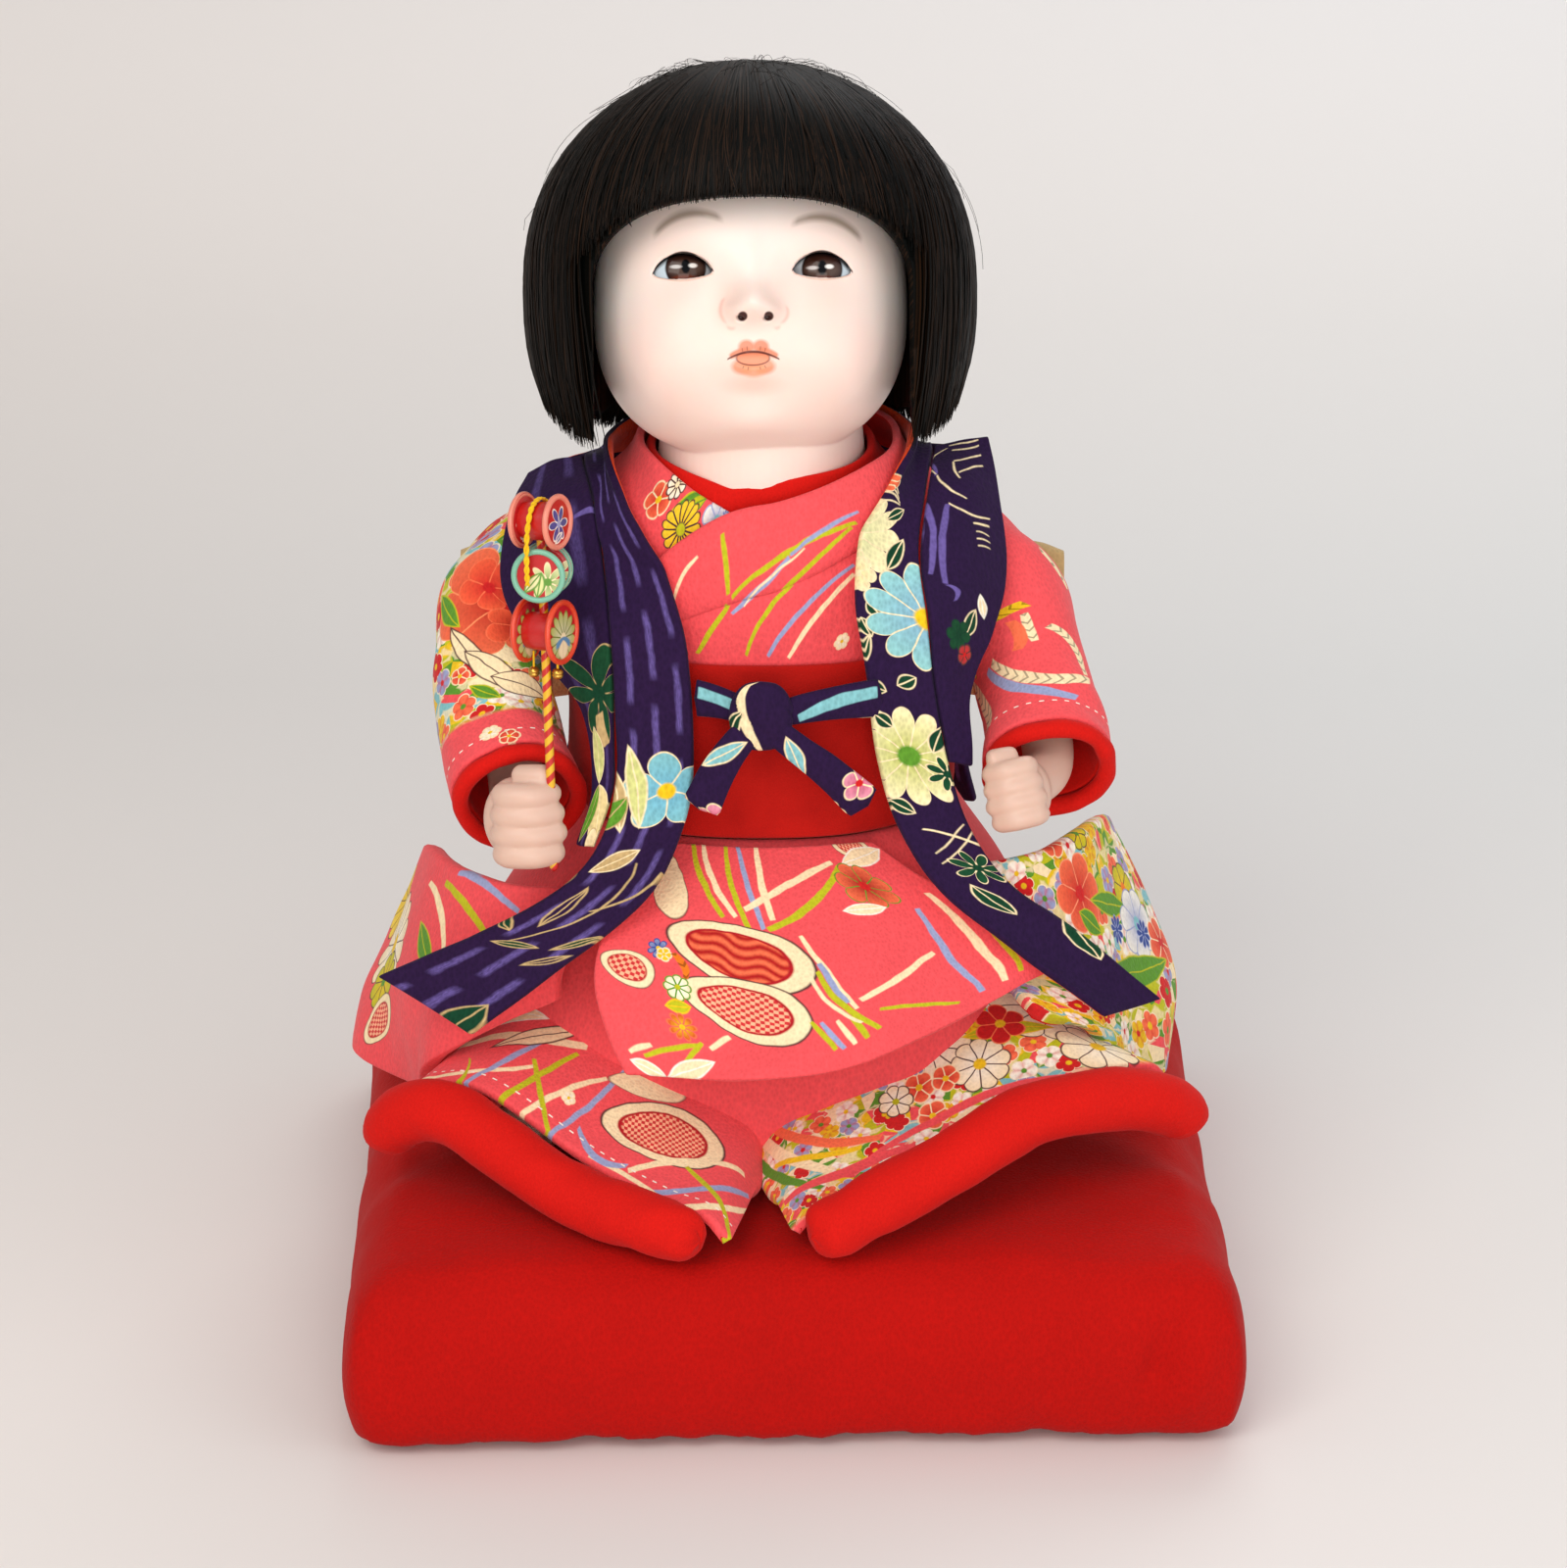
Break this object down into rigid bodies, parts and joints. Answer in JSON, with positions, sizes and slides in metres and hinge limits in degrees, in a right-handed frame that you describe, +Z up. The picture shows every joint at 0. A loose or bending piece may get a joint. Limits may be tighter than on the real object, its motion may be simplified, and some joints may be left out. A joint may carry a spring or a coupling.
{
  "type": "ichimatsu doll",
  "caption": "Seated baby doll in a patterned kimono, sash and open sleeveless coat, with bobbed hair, glass eyes and a drum rattle in its fist, on a square floor cushion.",
  "frame": {"origin": "centre of the cushion's flat underside", "axes": "+Z up; the doll faces -Y; +X is towards the doll's left hand"},
  "size_m": [0.2598, 0.2598, 0.3461],
  "materials": {
    "cushion_crepe": "bright red silk crepe over cotton wadding",
    "body_pulp": "pressed wood pulp, bare",
    "pink_crepe": "salmon pink silk crepe with dyed figures",
    "red_lining": "scarlet silk, lightly wadded",
    "obi_felt": "scarlet, felt-like",
    "obi_brocade": "tan and gold brocade",
    "tie_crepe": "dark purple silk crepe with pale figures",
    "vest_crepe": "dark purple silk crepe with dyed figures, orange lining",
    "joint_cloth": "plain cotton",
    "shell_white": "ground-shell white on pressed wood pulp, satin",
    "eye_glass": "brown glass, glossy",
    "hair": "black silk strands",
    "lacquer_yellow": "yellow and red lacquer",
    "lacquer_red": "red lacquer with painted faces",
    "silk_yellow": "yellow silk cord",
    "bell_brass": "polished"
  },
  "bodies": {
    "cushion": {"cushion": "cushion_crepe"},
    "doll": {"torso": "body_pulp", "inner_collar": "red_lining", "kimono_body": "pink_crepe", "kimono_collar_right": "pink_crepe", "kimono_collar_left": "pink_crepe", "kimono_front_right": "pink_crepe", "kimono_front_left": "pink_crepe", "obi_band": "obi_felt", "obi_bow_knot": "obi_brocade", "obi_bow_loop_right": "obi_brocade", "obi_bow_loop_left": "obi_brocade", "obi_bow_tail_right": "obi_brocade", "obi_bow_tail_left": "obi_brocade", "skirt_seat": "pink_crepe", "skirt_leg_right": "pink_crepe", "skirt_leg_left": "pink_crepe", "hem_pad_right": "red_lining", "hem_pad_left": "red_lining", "skirt_overlap": "pink_crepe", "sleeve_drop_right": "pink_crepe", "sleeve_drop_left": "pink_crepe", "vest_back": "vest_crepe", "vest_collar_right": "vest_crepe", "vest_collar_left": "vest_crepe", "vest_front_right": "vest_crepe", "vest_front_left": "vest_crepe", "vest_tie_knot": "tie_crepe", "vest_tie_strap_right": "tie_crepe", "vest_tie_strap_left": "tie_crepe", "vest_tie_tail_right": "tie_crepe", "vest_tie_tail_left": "tie_crepe"},
    "head": {"head": "shell_white", "eye_right": "eye_glass", "eye_left": "eye_glass", "hair": "hair"},
    "right_arm": {"sleeve_right": "pink_crepe", "sleeve_lining_right": "red_lining", "cuff_pad_right": "red_lining", "hand_right": "shell_white", "upper_arm_right": "joint_cloth"},
    "left_arm": {"sleeve_left": "pink_crepe", "sleeve_lining_left": "red_lining", "cuff_pad_left": "red_lining", "hand_left": "shell_white", "upper_arm_left": "joint_cloth"},
    "right_leg": {"thigh_right": "joint_cloth", "lower_leg_right": "shell_white"},
    "left_leg": {"thigh_left": "joint_cloth", "lower_leg_left": "shell_white"},
    "rattle": {"rattle_stick": "lacquer_yellow", "drum_1": "lacquer_red", "drum_2": "lacquer_red", "drum_3": "lacquer_red", "rattle_tassel": "silk_yellow"},
    "bell_right": {"bell_right": "bell_brass"},
    "bell_left": {"bell_left": "bell_brass"}
  },
  "joints": [
    {"name": "doll_lift", "type": "slide", "parent": "cushion", "child": "doll", "axis": [0, 0, 1], "range_m": [0, 0.2]},
    {"name": "neck_turn", "type": "hinge", "parent": "doll", "child": "head", "pos_m": [-0.006, 0.008, 0.23], "axis": [0, 0, 1], "range_deg": [-10, 10]},
    {"name": "right_arm_lift", "type": "hinge", "parent": "doll", "child": "right_arm", "pos_m": [-0.0565, 0.007, 0.2133], "axis": [-1, 0, 0], "range_deg": [0, 14]},
    {"name": "left_arm_lift", "type": "hinge", "parent": "doll", "child": "left_arm", "pos_m": [0.0477, 0.007, 0.2133], "axis": [-1, 0, 0], "range_deg": [0, 14]},
    {"name": "right_leg_turn", "type": "hinge", "parent": "doll", "child": "right_leg", "pos_m": [-0.035, -0.002, 0.0773], "axis": [-0.5418, -0.8209, -0.1806], "range_deg": [-12, 12]},
    {"name": "left_leg_turn", "type": "hinge", "parent": "doll", "child": "left_leg", "pos_m": [0.023, -0.002, 0.0773], "axis": [0.5418, -0.8209, -0.1806], "range_deg": [-12, 12]},
    {"name": "rattle_spin", "type": "hinge", "parent": "right_arm", "child": "rattle", "pos_m": [-0.06407, -0.04837, 0.24301], "axis": [-0.0277, 0.1531, 0.9878], "range_deg": [-60, 60]},
    {"name": "bell_right_swing", "type": "hinge", "parent": "rattle", "child": "bell_right", "pos_m": [-0.06626, -0.05262, 0.20525], "axis": [0.8979, -0.4305, 0.0919], "range_deg": [-30, 30]},
    {"name": "bell_left_swing", "type": "hinge", "parent": "rattle", "child": "bell_left", "pos_m": [-0.05979, -0.05572, 0.20591], "axis": [0.8979, -0.4305, 0.0919], "range_deg": [-30, 30]}
  ]
}
